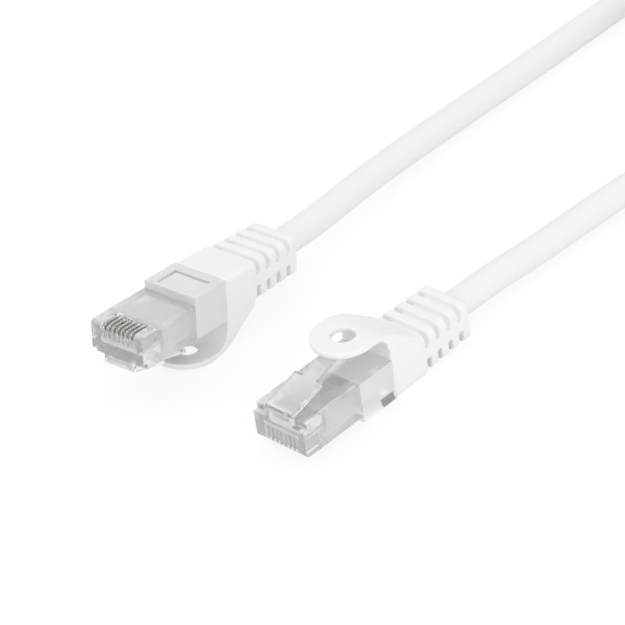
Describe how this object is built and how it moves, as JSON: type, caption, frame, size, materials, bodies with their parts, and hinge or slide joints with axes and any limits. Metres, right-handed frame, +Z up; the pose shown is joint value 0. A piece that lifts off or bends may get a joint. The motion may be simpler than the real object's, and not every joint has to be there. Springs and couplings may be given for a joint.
{
  "type": "ethernet patch cable",
  "caption": "White round network patch cable with a clear modular plug in a slotted white boot at each end, its spare length coiled.",
  "frame": {"origin": "on the surface, at the middle of the box round the two plugs and boots, without the free cable", "axes": "+X from the left plug to the right plug, +Y from the right plug's nose along its boot, +Z up from the surface"},
  "size_m": [0.0799, 0.2027, 0.0155],
  "materials": {
    "clear_polycarbonate": "clear, polished mould",
    "gold_plate": "gold plated",
    "guide_plastic": "clear, moulded",
    "catch_grey": "moulded",
    "jacket_white": "satin extruded",
    "separator_white": "extruded",
    "boot_white": "fine satin mould",
    "pair_orange": "extruded",
    "pair_green": "extruded",
    "pair_blue": "extruded",
    "pair_brown": "extruded"
  },
  "bodies": {
    "cable": {"left_plug_housing": "clear_polycarbonate", "left_contact_blades": "gold_plate", "left_wire_guide": "guide_plastic", "left_strain_relief_bar": "clear_polycarbonate", "left_side_catch": "catch_grey", "left_jacket_end": "jacket_white", "left_cross_separator": "separator_white", "left_boot": "boot_white", "left_orange_pair": "pair_orange", "left_green_pair": "pair_green", "left_blue_pair": "pair_blue", "left_brown_pair": "pair_brown", "right_plug_housing": "clear_polycarbonate", "right_contact_blades": "gold_plate", "right_wire_guide": "guide_plastic", "right_strain_relief_bar": "clear_polycarbonate", "right_side_catch": "catch_grey", "right_jacket_end": "jacket_white", "right_cross_separator": "separator_white", "right_boot": "boot_white", "right_orange_pair": "pair_orange", "right_green_pair": "pair_green", "right_blue_pair": "pair_blue", "right_brown_pair": "pair_brown", "left_lead": "jacket_white", "cable_coil": "jacket_white", "right_lead": "jacket_white"},
    "left_guard": {"left_latch_guard": "boot_white"},
    "left_latch": {"left_latch_lever": "clear_polycarbonate"},
    "right_guard": {"right_latch_guard": "boot_white"},
    "right_latch": {"right_latch_lever": "clear_polycarbonate"}
  },
  "joints": [
    {"name": "left_guard_press", "type": "hinge", "parent": "cable", "child": "left_guard", "pos_m": [-0.0171, -0.00141, 0.00218], "axis": [-0.9963, -0.0854, 0], "range_deg": [0, 16], "stiffness_Nm_per_rad": 0.08},
    {"name": "left_latch_press", "type": "hinge", "parent": "cable", "child": "left_latch", "pos_m": [-0.01525, -0.02301, 0.008], "axis": [0.9963, 0.0854, 0], "range_deg": [0, 13], "stiffness_Nm_per_rad": 0.04},
    {"name": "right_guard_press", "type": "hinge", "parent": "cable", "child": "right_guard", "pos_m": [0.0178, 0.00475, 0.0114], "axis": [1, 0, 0], "range_deg": [0, 16], "stiffness_Nm_per_rad": 0.08},
    {"name": "right_latch_press", "type": "hinge", "parent": "cable", "child": "right_latch", "pos_m": [0.0178, -0.01755, 0.00885], "axis": [-1, 0, 0], "range_deg": [0, 13], "stiffness_Nm_per_rad": 0.04}
  ],
  "couplings": [
    {"joint": "left_latch_press", "follows": "left_guard_press", "ratio": 0.8},
    {"joint": "right_latch_press", "follows": "right_guard_press", "ratio": 0.8}
  ]
}
